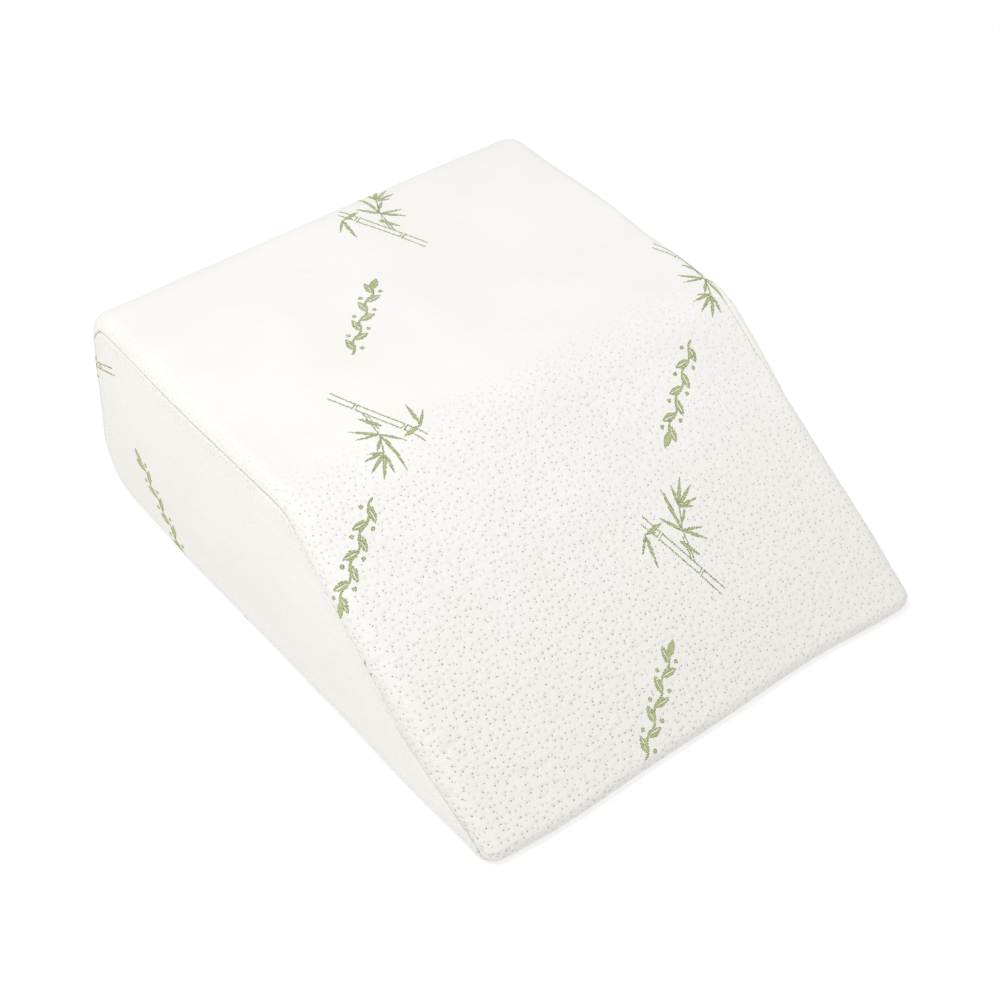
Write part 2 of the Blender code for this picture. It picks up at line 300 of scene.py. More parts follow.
# Camera: the photograph's angle, read from the pillow's outline
CAMERA_AZIMUTH = math.radians(-41.18)
CAMERA_ELEVATION = math.radians(43.60)
CAMERA_ROLL = math.radians(3.05)
CAMERA_TARGET = Vector((-0.0301, -0.0394, 0.1))
CAMERA_DISTANCE = 2.027
CAMERA_LENS = 79.8
CAMERA_SENSOR = 36.0

# The light: one soft lamp up on the left, and an even surrounding
LAMP_PLACE = Vector((-1.15, -0.2, 2.9))
LAMP_TARGET = Vector((0.0, 0.0, 0.1))
LAMP_SIZE = 0.9
LAMP_POWER = 37.0
WORLD_COLOUR = (1.0, 0.99, 0.97, 1.0)
WORLD_STRENGTH = 0.79

# The floor, which glows a little so that it comes out white, as the photo's ground is
FLOOR_REACH = 30.0
FLOOR_BELOW = 0.0004
FLOOR_DARK = (0.44, 0.44, 0.44, 1.0)
FLOOR_LIGHT = (0.46, 0.46, 0.46, 1.0)
FLOOR_GRAIN_SCALE = 40.0
FLOOR_SURFACE = {
    "Emission Color": (1.0, 1.0, 1.0, 1.0),
    "Emission Strength": 0.57,
    "Roughness": 0.95,
    "Specular IOR Level": 0.1,
}

# The knit's surface, its colours, which drift over the cloth, and a painted shade that darkens and warms
# the slope towards its foot, and the side panels towards the floor
KNIT_SURFACE = {"Roughness": 0.92, "Specular IOR Level": 0.25, "Sheen Weight": 0.10, "Sheen Roughness": 0.6}
KNIT_COLOUR = (0.820, 0.817, 0.803, 1.0)
KNIT_SHADE = (0.802, 0.798, 0.780, 1.0)
# The side panels' knit is the wrap's knit in lighter, warmer colours: painted light for the light on the
# sides
SIDE_PAINTED_LIGHT_COLOUR = (0.850, 0.838, 0.812, 1.0)
SIDE_PAINTED_LIGHT_DRIFT = (0.836, 0.822, 0.794, 1.0)
DRIFT_SCALE = 9.0
DRIFT_EDGES = (0.35, 0.65)
LOW_SHADE_COLOUR = (0.775, 0.766, 0.742, 1.0)
LOW_SHADE_START = 0.10
LOW_SHADE_REACH = 0.20
SIDE_LOW_SHADE_SHARE = 0.5

# The pinholes, one to each cell of a loose grid: their colour, a painted shade for the dark inside each
# hole, their size and its spread, the soft edge as shares of the radius, the dimple round each, and the
# wider hollow that leaves the cloth puffed between them
HOLE_SHADE_COLOUR = (0.30, 0.29, 0.25, 1.0)
HOLE_PITCH = 0.0063
HOLE_RANDOMNESS = 0.80
HOLE_RADIUS = 0.00043
HOLE_LEAST = 0.7
HOLE_SPREAD = 0.6
HOLE_EDGES = (1.4, 0.5)
HOLE_FAINTEST = 0.15
HOLE_DIMPLE = 0.0009
HOLE_DEPTH_MM = 0.50
HOLE_SWELL = 0.0032
HOLE_SWELL_MM = 0.46

# How strongly the pinholes show, in their painted shade and in their dimples: on the slope from its top,
# down it and to its right, on the level top away from its seams and at them, and on the side panels. They
# are set stronger where the cloth lies in shade and weaker where it is lit, so the holes' darkness is
# painted shade
HOLES_AT_BREAK = 0.80
HOLES_GAIN_BELOW = 0.30
HOLES_BELOW_REACH = 0.20
HOLES_LOSS_RIGHT = 0.25
HOLES_RIGHT_REACH = 0.25
TOP_HOLES_FADE = 0.90
TOP_HOLES_FADE_OVER = 0.05
TOP_SEAM_HOLES = 0.55
TOP_SEAM_REACH = 0.018
SIDE_HOLES = 0.30
SIDE_HOLES_REACH = 0.010
SIDE_HOLE_WEIGHT = 0.80

# The knit's fine relief: long and short ridges, which are flatter where the holes are weaker, and its loops
RIDGE_SCALE = (48.0, 170.0, 1.0)
SHORT_RIDGE_SCALE = (105.0, 150.0, 1.0)
LONG_RIDGE_SHARE = 0.55
SHORT_RIDGE_SHARE = 0.45
RIDGE_DEPTH_MM = 2.00
FLAT_RIDGES = 0.25
LOOP_PITCH = 0.0011
LOOP_DEPTH_MM = 0.06

# Along a seam: a thin line of painted shade in its groove, darker in a dash at each stitch's needle mark
SEAM_SHADE_COLOUR = (0.68, 0.66, 0.62, 1.0)
SEAM_LINE = 0.0004
SEAM_LINE_EDGES = (2.2, 0.8)
SEAM_STITCH = 0.0042
SEAM_DASH_EDGES = (0.12, 0.30)
SEAM_BETWEEN = 0.35

# The green yarn: its surface, flecks and twist
YARN_SURFACE = {"Roughness": 0.8, "Specular IOR Level": 0.3, "Sheen Weight": 0.15}
YARN_DARK = (0.150, 0.210, 0.050, 1.0)
YARN_LIGHT = (0.600, 0.660, 0.300, 1.0)
FLECK_SCALE = 900.0
FLECK_SHARE = 0.3
TWIST_SCALE = 2400.0
TWIST_STRENGTH = 0.6
TWIST_DEPTH = 0.0002

FRONT = -LENGTH / 2
BACK = LENGTH / 2
BREAK = BACK - PLATEAU
SLOPE_TURN = math.atan2(HEIGHT - NOSE_HEIGHT, BREAK - FRONT)
DOWN, REAR, UP = -math.pi / 2, 0.0, math.pi / 2
UPHILL = UP + SLOPE_TURN
AHEAD = math.pi
MM = 0.001


def facing(angle):
    """The unit normal that points at this angle in the (y, z) plane."""
    return np.array([math.cos(angle), math.sin(angle)])


class Corner:
    """A rounded corner of the side outline, between two faces whose normals point at the angles given."""

    def __init__(self, place, radius, start, end):
        self.radius, self.start, self.end = radius, start, end
        before, after = facing(start), facing(end)
        self.centre = np.array(place) - (before + after) * radius / (1 + before @ after)

    def at(self, angle):
        normal = facing(angle)
        return np.concatenate([self.centre + self.radius * normal, normal])

    def arc(self, first=0.0, last=1.0):
        """Closely spaced points with their normals, from one share of the arc to another."""
        shares = np.linspace(first, last, ARC_SAMPLES + 1)
        return [self.at(self.start + share * (self.end - self.start)) for share in shares]


BACK_BOTTOM = Corner((BACK, 0.0), BACK_BOTTOM_RADIUS, DOWN, REAR)
BACK_TOP = Corner((BACK, HEIGHT), BACK_TOP_RADIUS, REAR, UP)
BREAK_CORNER = Corner((BREAK, HEIGHT), BREAK_RADIUS, UP, UPHILL)
NOSE_TOP = Corner((FRONT, NOSE_HEIGHT), NOSE_RADIUS, UPHILL, AHEAD)
NOSE_BOTTOM = Corner((FRONT, 0.0), NOSE_RADIUS, AHEAD, AHEAD + math.pi / 2)


def side_paths():
    """The wedge seen from the side, as four joined paths of (y, z, normal y, normal z)."""
    return {
        "bottom": [NOSE_BOTTOM.at(NOSE_BOTTOM.end)] + BACK_BOTTOM.arc(0.0, 0.5),
        "back": BACK_BOTTOM.arc(0.5, 1.0) + BACK_TOP.arc(0.0, 0.5),
        "top": BACK_TOP.arc(0.5, 1.0) + BREAK_CORNER.arc() + [NOSE_TOP.at(NOSE_TOP.start)],
        "nose": NOSE_TOP.arc() + NOSE_BOTTOM.arc(),
    }


def unit(vectors):
    return vectors / np.linalg.norm(vectors, axis=-1)[..., None]


def lengths_along(points):
    """The distance of each point from the first, along the line through them."""
    return np.concatenate([[0.0], np.cumsum(np.linalg.norm(np.diff(points, axis=0), axis=1))])


def evenly(path, steps):
    """Evenly spaced points along a path, with unit normals."""
    path = np.array(path)
    along = lengths_along(path[:, :2])
    places = np.linspace(0, along[-1], steps + 1)
    row = np.column_stack([np.interp(places, along, column) for column in path.T])
    row[:, 2:] /= np.linalg.norm(row[:, 2:], axis=1)[:, None]
    return row


def joined_outline(steps):
    """A closed outline from the four paths, each in its own number of steps."""
    return np.concatenate([evenly(path, steps[name])[:-1] for name, path in side_paths().items()])


def wrap_outline():
    spacing = {"bottom": BOTTOM_STEP, "back": BACK_STEP, "top": TOP_STEP, "nose": NOSE_STEP}
    lengths = {name: lengths_along(np.array(path)[:, :2])[-1] for name, path in side_paths().items()}
    return joined_outline({name: round(length / spacing[name]) for name, length in lengths.items()})


def thickness_at(y):
    """The height of the wedge between its bottom and its top."""
    return np.interp(y, [FRONT, BREAK, BACK], [NOSE_HEIGHT, HEIGHT, HEIGHT])


def edge_depth(y):
    """How far the rounded side edge reaches down the face, less where the wedge is thin."""
    thin = EDGE_SHARE * thickness_at(y)
    return (EDGE_RADIUS**-4 + thin**-4) ** -0.25


def smooth_line(rows, place):
    """Reads a table of highs and lows at each place, with a smooth run from one row to the next."""
    places, values = np.array(rows).T
    after = np.clip(np.searchsorted(places, place), 1, len(places) - 1)
    share = np.clip((place - places[after - 1]) / (places[after] - places[after - 1]), 0, 1)
    return values[after - 1] + (values[after] - values[after - 1]) * share * share * (3 - 2 * share)


def half_width(y, side):
    """Half the pillow's width on one side, with that edge's draws and bows."""
    return WIDTH / 2 + smooth_line(RIGHT_EDGE if side > 0 else LEFT_EDGE, y)


def reach_of(y, side, turn):
    """How far from the middle plane a turn over the edge lies. Below 0 it runs in over the flat top."""
    rounded = EDGE_RADIUS * (1 - np.sin(np.clip(turn, 0, 1) * math.pi / 2))
    return half_width(y, side) - rounded + EDGE_RADIUS * math.pi / 2 * np.minimum(turn, 0)


def corner_setback(y, side, angle):
    """How far a ring over the edge lies back towards the pillow's middle, near its four corners."""
    corner = dict(zip(CORNER_COLUMNS, next(row for row in CORNERS if row[0] == side)))
    near_front = np.clip(1 - (y - FRONT) / CORNER_REACH, 0, 1) ** 2
    near_back = np.clip(1 - (BACK - y) / CORNER_REACH, 0, 1) ** 2
    return (1 - np.cos(angle)) * (corner["front"] * near_front - corner["back"] * near_back)


def swell(points, normals):
    """Moves points out along their normals by the crown of each face and by the uneven filling."""
    x, y, z = points.T
    across = 1 - np.clip(2 * x / WIDTH, -1, 1) ** 2
    along = np.clip(1 - (2 * y / LENGTH) ** TOP_SQUARENESS, 0, 1)
    whole = np.clip(thickness_at(y) / HEIGHT / WHOLE_CROWN, 0, 1)
    upright = np.clip(1 - (2 * z / HEIGHT - 1) ** BACK_SQUARENESS, 0, 1)
    rise = TOP_CROWN * across * along * whole * np.clip(normals[:, 2], 0, 1)
    rise += BACK_CROWN * across * upright * np.clip(normals[:, 1], 0, 1)
    for row in UNEVEN:
        place = dict(zip(UNEVEN_COLUMNS, row))
        far = ((x - place["x"]) / place["reach_x"]) ** 2 + ((y - place["y"]) / place["reach_y"]) ** 2
        rise += place["rise"] * np.exp(-far) * np.clip(normals[:, 2], 0, 1)
    moved = points + normals * rise[:, None]
    moved[:, 1] -= smooth_line(FRONT_EDGE, x) * np.clip(1 - (y - FRONT) / FRONT_REACH, 0, 1) ** 2
    return moved


def across_top(outline, share):
    """The ring at a share of the way across the top, from left to right."""
    y, z, normal_y, normal_z = outline.T
    left, right = -reach_of(y, -1, TOP_GRID_TURN), reach_of(y, 1, TOP_GRID_TURN)
    points = np.column_stack([left + (right - left) * share, y, z])
    normals = np.column_stack([np.zeros_like(y), normal_y, normal_z])
    return swell(points, normals)


def over_edge(outline, side, turn, depth=0.0):
    """The ring over a side edge at a turn, which may vary along it, and at a depth under the skin."""
    y, z, normal_y, normal_z = outline.T
    down = edge_depth(y)
    angle = np.clip(turn, 0, 1) * math.pi / 2
    sine, cosine = np.sin(angle), np.cos(angle)
    inset = down * (1 - cosine + np.maximum(turn - 1, 0))
    x = side * reach_of(y, side, turn)
    back = corner_setback(y, side, angle)
    points = np.column_stack([x, y - normal_y * inset + back, z - normal_z * inset])
    upright = cosine * EDGE_RADIUS
    normals = np.column_stack([side * sine * down, normal_y * upright, normal_z * upright])
    normals /= np.linalg.norm(normals, axis=1)[:, None]
    return swell(points, normals) - normals * depth


def seam_turn(outline, side):
    """Where the seam lies over the edge, by the table along the top and level along the bottom."""
    table = RIGHT_SEAM if side > 0 else LEFT_SEAM
    upper = np.clip(outline[:, 3] + SEAM_MEETS, 0, 1)
    return LOW_SEAM + (smooth_line(table, outline[:, 0]) - LOW_SEAM) * upper


def turn_length(outline, turn):
    """The length on the skin of one unit of turn, at a turn over the edge."""
    angle = np.minimum(turn, 1) * math.pi / 2
    down = edge_depth(outline[:, 0])
    arc = math.pi / 2 * np.hypot(EDGE_RADIUS * np.cos(angle), down * np.sin(angle))
    return np.where(turn < 1, arc, down)


def side_grid(ring, counts, side):
    """A crowned grid over the side face inside a ring, as an array of rows from the bottom to the top."""
    along, up = counts
    bottom, back = ring[: along + 1], ring[along : along + up + 1]
    top = ring[along + up : 2 * along + up + 1][::-1]
    nose = np.concatenate([ring[2 * along + up :], ring[:1]])[::-1]
    u = np.linspace(0, 1, along + 1)[None, :, None]
    v = np.linspace(0, 1, up + 1)[:, None, None]
    rows = (1 - v) * bottom[None] + v * top[None] + (1 - u) * nose[:, None] + u * back[:, None]
    rows -= (1 - u) * (1 - v) * bottom[0] + u * (1 - v) * bottom[-1] + (1 - u) * v * top[0] + u * v * top[-1]
    share = np.clip((rows[..., 1] - FRONT) / LENGTH, 0, 1)
    belly = np.sin(math.pi * share**SIDE_LEAN) * np.sin(math.pi * v[..., 0]) ** 2
    rows[..., 0] += side * SIDE_CROWN * belly * thickness_at(rows[..., 1]) / HEIGHT
    return rows


def value_noise(u, v, cell_u, cell_v, seed):
    """Smooth seeded noise from -1 to 1, with bumps about a cell across."""
    table = np.random.default_rng(seed).uniform(-1, 1, (NOISE_TABLE, NOISE_TABLE))
    across, along = u / cell_u, v / cell_v
    left, low = np.floor(across).astype(int), np.floor(along).astype(int)
    share_u, share_v = across - left, along - low
    share_u = share_u * share_u * (3 - 2 * share_u)
    share_v = share_v * share_v * (3 - 2 * share_v)
    here, right = left % NOISE_TABLE, (left + 1) % NOISE_TABLE
    below, above = low % NOISE_TABLE, (low + 1) % NOISE_TABLE
    lower = table[here, below] * (1 - share_u) + table[right, below] * share_u
    upper = table[here, above] * (1 - share_u) + table[right, above] * share_u
    return lower * (1 - share_v) + upper * share_v


def rolled_rim(distance):
    """How deep the cover lies under the skin at a distance from a seam: the rolled rim and the soft dip."""
    inside = np.clip(1 - distance / ROLL_RADIUS, 0, 1)
    roll = ROLL_RADIUS * (1 - np.sqrt(np.clip(1 - inside**2, 0, 1)))
    return roll + DRAW_DEPTH * np.exp(-distance / DRAW_REACH)


def roll_share(y):
    """The rims are rolled less towards the thin front edge, where the side panel is narrow."""
    return SLIGHT_ROLL + (1 - SLIGHT_ROLL) * np.clip((y - FRONT) / SLIGHT_ROLL_REACH, 0, 1)


def puckers(distance, along, seed):
    """Gathers along a seam, about as long as the stitches pull, which die away from it."""
    wave = value_noise(along, along * 0, PUCKER_LENGTH, 1.0, seed)
    spread = value_noise(distance, along, 2 * PUCKER_REACH, 2 * PUCKER_LENGTH, seed + 1)
    return PUCKER_DEPTH * (wave + PUCKER_UNEVENNESS * spread) * np.exp(-distance / PUCKER_REACH)


def creases(u, v):
    """The height of the creases in the wrap."""
    rise = np.zeros_like(u)
    for row in CREASES:
        crease = dict(zip(CREASE_COLUMNS, row))
        turn = math.radians(crease["turn_degrees"])
        along = (u - crease["u"]) * math.cos(turn) + (v - crease["v"]) * math.sin(turn)
        off = -(u - crease["u"]) * math.sin(turn) + (v - crease["v"]) * math.cos(turn)
        fade = np.exp(-((2 * along / crease["length"]) ** 4))
        width = crease["width"]
        trough = np.exp(-((off / width) ** 2))
        ridge = np.exp(-(((off + CREASE_RIDGE_OFFSET * width) / (CREASE_RIDGE_WIDTH * width)) ** 2))
        rise += crease["depth"] * fade * (CREASE_RIDGE_HEIGHT * ridge - trough)
    return rise


class Grid:
    """A grid of points with their distances across and along, from which the wrap is made.

    Rows are rings round the pillow, from the left seam to the right one. The points of a ring run from the
    front edge along the bottom, up the back, over the top and round the nose.
    """

    def __init__(self, outline, points):
        self.outline, self.points = outline, points
        across = np.linalg.norm(np.diff(points, axis=0), axis=2)
        from_left = np.concatenate([np.zeros((1, points.shape[1])), np.cumsum(across, axis=0)])
        self.from_left = from_left
        self.from_right = from_left[-1:] - from_left
        ring = np.concatenate([outline[:, :2], outline[:1, :2]])
        around = lengths_along(ring)
        top = np.flatnonzero(outline[:, 3] > 0.5)[::-1]
        self.v = np.interp(BREAK, outline[top, 0], around[top]) - around
        middle = np.argmin(np.abs(points[:, :, 0]), axis=0)
        zero = from_left[middle, np.arange(points.shape[1])] - points[middle, np.arange(points.shape[1]), 0]
        self.u = from_left - zero[None]

    def normals(self):
        """Unit normals that point out of the pillow."""
        around = np.roll(self.points, -1, axis=1) - np.roll(self.points, 1, axis=1)
        across = np.gradient(self.points, axis=0)
        return unit(np.cross(around, across))

    def locate(self, u, v):
        """The points at places in cloth coordinates, the cloth's axes there, and which lie on the wrap."""
        count = self.points.shape[1]
        column = np.interp(-v, -self.v, np.arange(count + 1))
        here = np.minimum(np.floor(column).astype(int), count - 1)
        after = (here + 1) % count
        share = (column - here)[:, None]
        reach = self.u[:, here].T * (1 - share) + self.u[:, after].T * share
        ring = (reach <= u[:, None]).sum(axis=1) - 1
        there = (ring >= 0) & (ring < len(self.points) - 1)
        ring = np.clip(ring, 0, len(self.points) - 2)
        low, high = reach[np.arange(len(u)), ring], reach[np.arange(len(u)), ring + 1]
        rise = np.clip((u - low) / (high - low), 0, 1)[:, None]

        def read(field):
            lower = field[ring, here] * (1 - share) + field[ring, after] * share
            upper = field[ring + 1, here] * (1 - share) + field[ring + 1, after] * share
            return lower, upper

        lower, upper = read(self.points)
        normal_low, normal_high = read(self.normals())
        normal = unit(normal_low * (1 - rise) + normal_high * rise)
        across = unit(upper - lower)
        return lower * (1 - rise) + upper * rise, across, np.cross(normal, across), normal, there


def wrap_grid():
    """The wrap's skin at rest, without its fine relief."""
    outline = wrap_outline()
    edge_length = EDGE_RADIUS * math.pi / 2 * (1 - TOP_GRID_TURN)
    near = np.array(RIM_STEPS) / edge_length
    steps = round((1 - near[-1]) * edge_length / ACROSS_STEP)
    shares = np.concatenate([near, np.linspace(near[-1], 1, steps + 1)[1:]])
    edges = {}
    for side in (-1, 1):
        seam = seam_turn(outline, side)
        edges[side] = [over_edge(outline, side, seam + (TOP_GRID_TURN - seam) * share) for share in shares]
    steps = round((WIDTH - 2 * edge_length) / ACROSS_STEP)
    top = [across_top(outline, k / steps) for k in range(1, steps)]
    return Grid(outline, np.array(edges[-1] + top + edges[1][::-1]))


def wrap_relief(grid):
    """How far each point of the wrap stands proud of the skin."""
    u, v = grid.u, np.broadcast_to(grid.v[None, :-1], grid.u.shape)
    up = np.clip(grid.outline[:, 3], 0, 1)[None]
    free = np.clip(grid.outline[:, 1] / NOSE_RADIUS, 0, 1)[None]
    slope = np.clip(-v / SLOPE_FADE, 0, 1) * up
    lumps = value_noise(u + 1, v + 1, LUMP_SIZE, LUMP_SIZE, LUMP_SEED)
    ridges = value_noise(u + 1, v + 1, RIDGE_LENGTH, RIDGE_WIDTH, RIDGE_SEED)
    rise = LUMP_HEIGHT * lumps * free
    rise = rise + RIDGE_HEIGHT * ridges * (RIDGE_ON_TOP + (1 - RIDGE_ON_TOP) * slope) * free
    rise = rise + creases(u, v) * slope
    share = roll_share(grid.points[:, :, 1])
    for distance, seed in ((grid.from_left, LEFT_PUCKER_SEED), (grid.from_right, RIGHT_PUCKER_SEED)):
        rise = rise + (puckers(distance, v, seed) * free - rolled_rim(distance)) * share
    return rise


def new_mesh(name, points, quads, polygons=()):
    """A mesh object from arrays of points and quads, and lists of larger polygons."""
    mesh = bpy.data.meshes.new(name)
    mesh.from_pydata(points.tolist(), [], quads.tolist() + [list(p) for p in polygons])
    mesh.update()
    mesh.shade_smooth()
    piece = bpy.data.objects.new(name, mesh)
    bpy.context.scene.collection.objects.link(piece)
    return piece


def add_cloth_coordinates(piece, corner_uv):
    layer = piece.data.uv_layers.new(name="cloth")
    layer.data.foreach_set("uv", np.asarray(corner_uv, dtype=np.float32).ravel())


def add_attribute(piece, name, values):
    attribute = piece.data.attributes.new(name, "FLOAT", "POINT")
    attribute.data.foreach_set("value", np.asarray(values, dtype=np.float32))


def between_rings(index):
    """The quads that join closed rings, each row of which holds the numbers of a ring's points."""
    after = np.roll(index, -1, axis=1)
    return np.stack([index[:-1], after[:-1], after[1:], index[1:]], axis=-1).reshape(-1, 4)


def range_mm(values):
    """The least and the greatest of the values, in millimetres."""
    return values.min() / MM, values.max() / MM


def cover_wrap():
    """The wrap panel over its filling, as one closed piece with a recess in each end."""
    grid = wrap_grid()
    normals = grid.normals()
    grid.points = grid.points + normals * wrap_relief(grid)[..., None]
    rings, count = grid.points.shape[:2]
    ends = []
    for side in (-1, 1):
        floor = over_edge(grid.outline, side, seam_turn(grid.outline, side), PANEL_THICKNESS + FLOOR_GAP)
        ends.append([floor - np.array([side * END_DEPTH, 0, 0]), floor][::-side])
    points = np.concatenate([np.array(ends[0]), grid.points, np.array(ends[1])])
    index = np.arange(points.shape[0] * count).reshape(points.shape[0], count)
    piece = new_mesh("cover_wrap", points.reshape(-1, 3), between_rings(index), [index[0][::-1], index[-1]])

    deeper = np.array([END_DEPTH + PANEL_THICKNESS, PANEL_THICKNESS])[:, None]
    u = np.concatenate([grid.u[:1] - deeper, grid.u, grid.u[-1:] + deeper[::-1]])
    u_next = np.roll(u, -1, axis=1)
    v, v_next = grid.v[:-1], grid.v[1:]
    corners_u = np.stack([u[:-1], u_next[:-1], u_next[1:], u[1:]], axis=-1)
    corners_v = np.broadcast_to(np.stack([v, v_next, v_next, v], axis=-1)[None], corners_u.shape)
    quads_uv = np.stack([corners_u, corners_v], axis=-1).reshape(-1, 2)
    ends_uv = np.concatenate([ends[0][0][::-1, 1:], ends[1][-1][:, 1:]])
    add_cloth_coordinates(piece, np.concatenate([quads_uv, ends_uv]))
    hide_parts("filled_body")
    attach(piece, "root")
    return piece, grid


def smoothed(points, quads, free, rounds):
    """The points of a net, each free one drawn to the middle of its neighbours again and again."""
    edges = np.concatenate([np.sort(quads[:, [k, (k + 1) % 4]], axis=1) for k in range(4)])
    edges = np.unique(edges, axis=0)
    here, there = np.concatenate([edges, edges[:, ::-1]]).T
    neighbours = np.bincount(here, minlength=len(points))
    for _ in range(rounds):
        middle = [np.bincount(here, points[there, axis], len(points)) / neighbours for axis in range(3)]
        points = np.where(free[:, None], np.column_stack(middle), points)
    return points


def vertex_normals(name, points, quads):
    """The smooth normal at each point of a net, read from a mesh that is made for it and removed again."""
    flat = new_mesh(name + "_flat", points, quads)
    normals = np.empty(len(points) * 3, dtype=np.float32)
    flat.data.vertex_normals.foreach_get("vector", normals)
    flat_mesh = flat.data
    bpy.data.objects.remove(flat)
    bpy.data.meshes.remove(flat_mesh)
    return normals.reshape(-1, 3).astype(float)


def side_skin(side):
    """A side panel's skin at rest: points, quads, the rim's point numbers, the rings' seam distances."""
    along, up = SIDE_ALONG, SIDE_UP
    outline = joined_outline({"bottom": along, "back": up, "top": along, "nose": up})
    seam = seam_turn(outline, side)
    rim = seam + RIM_GAP / turn_length(outline, seam)
    core = smooth_line(CORE, outline[:, 0])
    room = np.maximum(core - rim, 0) * edge_depth(outline[:, 0])
    shares = [step / SIDE_RIM_STEPS[-1] for step in SIDE_RIM_STEPS]
    rings = [over_edge(outline, side, rim + (core - rim) * share) for share in shares]
    distances = np.concatenate([room * share for share in shares])
    grid = side_grid(rings[-1], (along, up), side)
    inner = grid[1:-1, 1:-1]
    points = np.concatenate(rings + [inner.reshape(-1, 3)])

    index = np.arange(len(rings) * len(outline)).reshape(len(rings), len(outline))
    last = index[-1]
    net = np.zeros(grid.shape[:2], dtype=int)
    net[0, :] = last[: along + 1]
    net[:, along] = last[along : along + up + 1]
    net[up, :] = last[along + up : 2 * along + up + 1][::-1]
    net[1:up, 0] = last[2 * along + up + 1 :][::-1]
    net[1:up, 1:along] = index.size + np.arange(inner.shape[0] * inner.shape[1]).reshape(inner.shape[:2])
    cells = np.stack([net[:-1, :-1], net[:-1, 1:], net[1:, 1:], net[1:, :-1]], axis=-1).reshape(-1, 4)
    quads = np.concatenate([between_rings(index), cells])
    if side < 0:
        quads = quads[:, ::-1]
    free = np.arange(len(points)) >= SIDE_KEPT_RINGS * len(outline)
    return smoothed(points, quads, free, SIDE_SMOOTHING), quads, index[0], distances


def seam_distance(points, distances):
    """How far each point of a side panel lies from its seam, by its ring or, further in, by y and z."""
    y, z = points[:, 1], points[:, 2]
    near = np.clip(np.minimum.reduce([thickness_at(y) - z, z, BACK - y]), 0, 1)
    near[: len(distances)] = distances
    return near


def panel_locator(tree, side):
    """A side panel's own locate, which gives what the wrap's does."""

    def locate(u, v):
        starts = np.column_stack([np.full(len(u), side * WIDTH), v, -side * u])
        hits = [tree.ray_cast(start, (-side, 0, 0)) for start in starts.tolist()]
        there = np.array([hit[0] is not None for hit in hits])
        place = np.array([hit[0] if hit[0] is not None else (0, 0, 0) for hit in hits])
        facing_out = np.array([hit[1] if hit[0] is not None else (side, 0, 0) for hit in hits])
        rear = np.array([0.0, 1.0, 0.0])
        across = unit(np.cross(rear, facing_out))
        return place, across, np.cross(facing_out, across), facing_out, there

    return locate


def cover_side(name, side):
    """A side panel: a crowned sheet of knit with its batting, sewn in along its whole rim."""
    skin, quads, rim, distances = side_skin(side)
    normals = vertex_normals(name, skin, quads)
    near = seam_distance(skin, distances)
    y, z = skin[:, 1], skin[:, 2]
    rise = (puckers(near, y + z, SIDE_PUCKER_SEED + side) - rolled_rim(near)) * roll_share(y)
    lumps = value_noise(y + 1, z + 1, LUMP_SIZE, LUMP_SIZE, SIDE_LUMP_SEED + side)
    rise += LUMP_HEIGHT * lumps * np.clip(near / LUMP_FROM_SEAM, 0, 1)
    outer = skin + normals * rise[:, None]
    both = np.concatenate([outer, skin - normals * PANEL_THICKNESS])

    shift = len(skin)
    rim_after = np.roll(rim, -1)
    wall = np.stack([rim, rim + shift, rim_after + shift, rim_after], axis=-1)
    if side < 0:
        wall = wall[:, ::-1]
    faces = np.concatenate([quads, quads[:, ::-1] + shift, wall])
    piece = new_mesh(name, both, faces)
    uv = np.column_stack([-side * both[:, 2], both[:, 1]])
    add_cloth_coordinates(piece, uv[faces.ravel()])
    # pinhole weight on the side panel, for painted shade in the holes and their dimples: stronger near the
    # seam, in shade
    hole_weight = SIDE_HOLES + (1 - SIDE_HOLES) * np.exp(-near / SIDE_HOLES_REACH)
    add_attribute(piece, "hole_strength", np.concatenate([hole_weight, hole_weight]))
    add_attribute(piece, "from_seam", np.concatenate([near, near]))
    # painted shade, darker and warmer towards the floor
    add_attribute(piece, "low", SIDE_LOW_SHADE_SHARE * np.clip(1 - both[:, 2] / LOW_SHADE_REACH, 0, 1))
    add_attribute(piece, "bare", bareness(name, uv[:, 0], uv[:, 1]))
    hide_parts(name.replace("cover_side", "side_panel"))
    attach(piece, "root")
    tree = BVHTree.FromPolygons(outer.tolist(), quads.tolist())
    return piece, panel_locator(tree, side), (range_mm(uv[:, 0]), range_mm(uv[:, 1]))


def leaf_place(x, y, leaf):
    """How far along a leaf's rib each place lies, and how far off it."""
    turn = math.radians(leaf["angle"])
    along = (x - leaf["along"]) * math.cos(turn) + (y - leaf["aside"]) * math.sin(turn)
    off = np.abs((y - leaf["aside"]) * math.cos(turn) - (x - leaf["along"]) * math.sin(turn))
    return along, off


def leaf_depth(x, y, leaf):
    """How deep each place lies inside a leaf, widest in its first half."""
    along, off = leaf_place(x, y, leaf)
    share = np.clip(along / leaf["length"], 0, 1)
    beyond = np.maximum(0, np.maximum(-along, along - leaf["length"]))
    return leaf["width"] / 2 * np.sin(math.pi * share**LEAF_LEAN) ** LEAF_FULLNESS - off - beyond


def line_depth(x, y, line):
    """How deep each place lies inside a line with round ends."""
    start = np.array([line["along"], line["aside"]])
    run = np.array([line["to_along"], line["to_aside"]]) - start
    share = np.clip(((x - start[0]) * run[0] + (y - start[1]) * run[1]) / (run @ run), 0, 1)
    return line["width"] / 2 - np.hypot(x - start[0] - share * run[0], y - start[1] - share * run[1])


def sprig_depth(x, y):
    lines = [line_depth(x, y, dict(zip(SPRIG_LINE_COLUMNS, row))) for row in SPRIG_LINES]
    leaves = [leaf_depth(x, y, dict(zip(LEAF_COLUMNS, row))) for row in SPRIG_LEAVES]
    return np.maximum.reduce(lines + leaves)


def row_stem(x):
    return ROW_SWING * np.sin(2 * math.pi * x / ROW_WAVE)


def row_leaf(along, aside, angle):
    return dict(zip(LEAF_COLUMNS, (along, aside, angle, ROW_LEAF_LENGTH, ROW_LEAF_WIDTH)))


